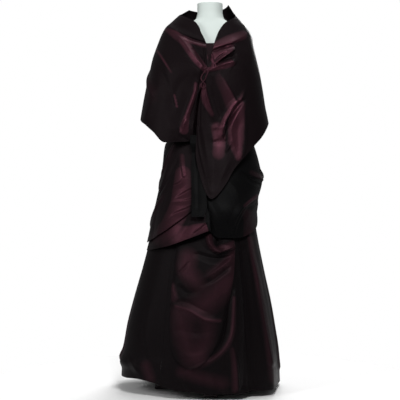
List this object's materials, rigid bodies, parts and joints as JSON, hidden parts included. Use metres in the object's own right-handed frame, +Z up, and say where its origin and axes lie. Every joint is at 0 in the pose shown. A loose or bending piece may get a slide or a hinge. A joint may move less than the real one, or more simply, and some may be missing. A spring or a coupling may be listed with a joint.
{
  "type": "evening dress and stole on a limbless dress form and its stand",
  "caption": "Floor-length strapless evening dress in crisp shot taffeta with a draped, ballooned skirt and a wide pull-through stole, worn by a limbless dress form on a stand.",
  "frame": {"origin": "on the floor at the middle of the stand's cross foot, under the dress form's axis", "axes": "+Z up along the form's axis, -Y towards the front of the dress, +X to the right as the front is seen"},
  "size_m": [0.6428, 0.6023, 1.535],
  "materials": {
    "taffeta": "crisp shot taffeta, near black with burgundy lights",
    "form_cover": "smooth, pale, slightly green white",
    "stand_metal": "dark brown-black, satin"
  },
  "bodies": {
    "root": {"bodice_front": "taffeta", "bodice_back_left": "taffeta", "bodice_back_right": "taffeta", "skirt_front": "taffeta", "skirt_side_left": "taffeta", "skirt_side_right": "taffeta", "skirt_back_left": "taffeta", "skirt_back_right": "taffeta", "drape_left_upper": "taffeta", "drape_left_lower": "taffeta", "pouf_right": "taffeta", "swag_front": "taffeta", "stole": "taffeta", "stole_end": "taffeta", "stole_loop": "taffeta", "form_body": "form_cover", "stand_pole": "stand_metal", "stand_foot": "stand_metal"}
  },
  "joints": []
}
